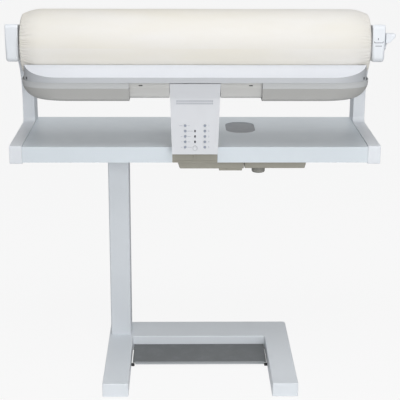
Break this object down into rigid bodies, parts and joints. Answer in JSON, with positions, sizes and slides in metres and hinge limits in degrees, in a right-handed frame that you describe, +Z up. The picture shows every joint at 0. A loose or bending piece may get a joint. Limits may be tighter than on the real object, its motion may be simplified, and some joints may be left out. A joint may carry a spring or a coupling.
{
  "type": "flatwork ironer",
  "caption": "Free-standing rotary ironer with a padded roller over a heated shoe, control column, work table, single column and U-shaped foot with treadle.",
  "frame": {"origin": "centre of the overall box at floor level", "axes": "+X to the user's right along the roller, +Y away from the user, +Z up"},
  "size_m": [1.044, 0.61, 1.0025],
  "materials": {
    "frame_paint": "satin light grey powder coat",
    "table_paint": "satin light grey powder coat",
    "tray_paint": "smooth light grey paint",
    "casing": "smooth satin light grey",
    "panel": "smooth off-white",
    "beige_plastic": "grained beige",
    "cotton": "plain woven cotton",
    "felt": "needled felt",
    "polished_shoe": "polished",
    "aluminium": "drawn",
    "steel": "drawn",
    "pedal_paint": "ribbed dark grey",
    "black_rubber": "matte",
    "cup_plastic": "smooth mid grey",
    "key_plastic": "smooth grey",
    "knob_plastic": "knurled grey",
    "lens": "smoked",
    "gear_brass": "cut teeth",
    "motor_paint": "black paint",
    "board": "lacquered circuit board"
  },
  "bodies": {
    "frame": {"base_frame": "frame_paint", "column": "frame_paint", "cross_beam": "frame_paint", "side_arm_left": "frame_paint", "side_arm_right": "frame_paint", "lift_seat": "frame_paint", "table_top": "table_paint", "arm_cover_left": "casing", "arm_cover_right": "casing", "electronics_box": "beige_plastic", "water_tank": "beige_plastic", "lift_sleeve": "beige_plastic", "roller_motor": "aluminium", "pedal_axle": "steel", "pedal_spring": "steel", "guide_rod_left": "steel", "guide_rod_right": "steel", "bearing_left": "steel", "bearing_right": "steel", "floor_glide_front_left": "black_rubber", "floor_glide_front_right": "black_rubber", "floor_glide_rear_left": "black_rubber", "floor_glide_rear_right": "black_rubber", "pedal_stop_left": "black_rubber", "pedal_stop_right": "black_rubber", "filler_cup": "cup_plastic", "lift_motor": "motor_paint"},
    "roller": {"roller_drum": "aluminium", "roller_cover": "cotton", "roller_padding": "felt", "drum_cap_left": "aluminium", "drum_cap_right": "aluminium", "ring_gear": "gear_brass"},
    "shoe": {"shoe_carriage": "steel", "shoe_plate": "polished_shoe", "feed_tray": "tray_paint", "heating_element": "steel", "shoe_cover_left": "casing", "shoe_cover_middle": "casing", "shoe_cover_right": "casing", "control_cover": "panel", "indicator_lens": "lens", "control_board": "board", "lift_rack": "gear_brass"},
    "drive_pinion": {"drive_pinion": "gear_brass"},
    "lift_pinion": {"lift_pinion": "gear_brass"},
    "release_lever": {"release_lever": "casing"},
    "foot_pedal": {"foot_pedal": "pedal_paint"},
    "drain_knob": {"drain_knob": "knob_plastic"},
    "power_button": {"power_button": "casing"},
    "key_left_1": {"key_left_1": "key_plastic"},
    "key_left_2": {"key_left_2": "key_plastic"},
    "key_left_3": {"key_left_3": "key_plastic"},
    "key_left_4": {"key_left_4": "key_plastic"},
    "key_left_5": {"key_left_5": "key_plastic"},
    "key_right_1": {"key_right_1": "key_plastic"},
    "key_right_2": {"key_right_2": "key_plastic"},
    "key_right_3": {"key_right_3": "key_plastic"},
    "key_right_4": {"key_right_4": "key_plastic"},
    "key_right_5": {"key_right_5": "key_plastic"}
  },
  "joints": [
    {"name": "roller_spin", "type": "hinge", "parent": "frame", "child": "roller", "pos_m": [-0.0135, -0.0054, 0.91], "axis": [1, 0, 0], "continuous": true},
    {"name": "drive_pinion_spin", "type": "hinge", "parent": "frame", "child": "drive_pinion", "pos_m": [0.1225, -0.0054, 0.952], "axis": [1, 0, 0], "continuous": true},
    {"name": "shoe_lift", "type": "slide", "parent": "frame", "child": "shoe", "axis": [0, 0, 1], "range_m": [-0.025, 0]},
    {"name": "lift_pinion_spin", "type": "hinge", "parent": "frame", "child": "lift_pinion", "pos_m": [-0.0151, -0.0385, 0.676], "axis": [1, 0, 0], "range_deg": [-1, 138]},
    {"name": "lever_pivot", "type": "hinge", "parent": "frame", "child": "release_lever", "pos_m": [0.4965, -0.0054, 0.91], "axis": [-1, 0, 0], "range_deg": [0, 60]},
    {"name": "pedal_pivot", "type": "hinge", "parent": "frame", "child": "foot_pedal", "pos_m": [-0.001, -0.001, 0.007], "axis": [1, 0, 0], "range_deg": [0, 2.9], "stiffness_Nm_per_rad": 6, "springref_deg": -14.32},
    {"name": "drain_knob_turn", "type": "hinge", "parent": "frame", "child": "drain_knob", "pos_m": [0.1635, -0.011, 0.56], "axis": [0, 0, 1], "range_deg": [0, 90]},
    {"name": "power_button_press", "type": "slide", "parent": "shoe", "child": "power_button", "axis": [0, 1, 0], "range_m": [0, 0.001], "stiffness_N_per_m": 400, "springref_m": -0.003},
    {"name": "key_left_1_press", "type": "slide", "parent": "shoe", "child": "key_left_1", "axis": [0, 1, 0], "range_m": [0, 0.001], "stiffness_N_per_m": 400, "springref_m": -0.003},
    {"name": "key_left_2_press", "type": "slide", "parent": "shoe", "child": "key_left_2", "axis": [0, 1, 0], "range_m": [0, 0.001], "stiffness_N_per_m": 400, "springref_m": -0.003},
    {"name": "key_left_3_press", "type": "slide", "parent": "shoe", "child": "key_left_3", "axis": [0, 1, 0], "range_m": [0, 0.001], "stiffness_N_per_m": 400, "springref_m": -0.003},
    {"name": "key_left_4_press", "type": "slide", "parent": "shoe", "child": "key_left_4", "axis": [0, 1, 0], "range_m": [0, 0.001], "stiffness_N_per_m": 400, "springref_m": -0.003},
    {"name": "key_left_5_press", "type": "slide", "parent": "shoe", "child": "key_left_5", "axis": [0, 1, 0], "range_m": [0, 0.001], "stiffness_N_per_m": 400, "springref_m": -0.003},
    {"name": "key_right_1_press", "type": "slide", "parent": "shoe", "child": "key_right_1", "axis": [0, 1, 0], "range_m": [0, 0.001], "stiffness_N_per_m": 400, "springref_m": -0.003},
    {"name": "key_right_2_press", "type": "slide", "parent": "shoe", "child": "key_right_2", "axis": [0, 1, 0], "range_m": [0, 0.001], "stiffness_N_per_m": 400, "springref_m": -0.003},
    {"name": "key_right_3_press", "type": "slide", "parent": "shoe", "child": "key_right_3", "axis": [0, 1, 0], "range_m": [0, 0.001], "stiffness_N_per_m": 400, "springref_m": -0.003},
    {"name": "key_right_4_press", "type": "slide", "parent": "shoe", "child": "key_right_4", "axis": [0, 1, 0], "range_m": [0, 0.001], "stiffness_N_per_m": 400, "springref_m": -0.003},
    {"name": "key_right_5_press", "type": "slide", "parent": "shoe", "child": "key_right_5", "axis": [0, 1, 0], "range_m": [0, 0.001], "stiffness_N_per_m": 400, "springref_m": -0.003}
  ],
  "couplings": [
    {"joint": "drive_pinion_spin", "follows": "roller_spin", "ratio": 2.75},
    {"joint": "lift_pinion_spin", "follows": "shoe_lift", "rad_per_m": -95.238}
  ]
}
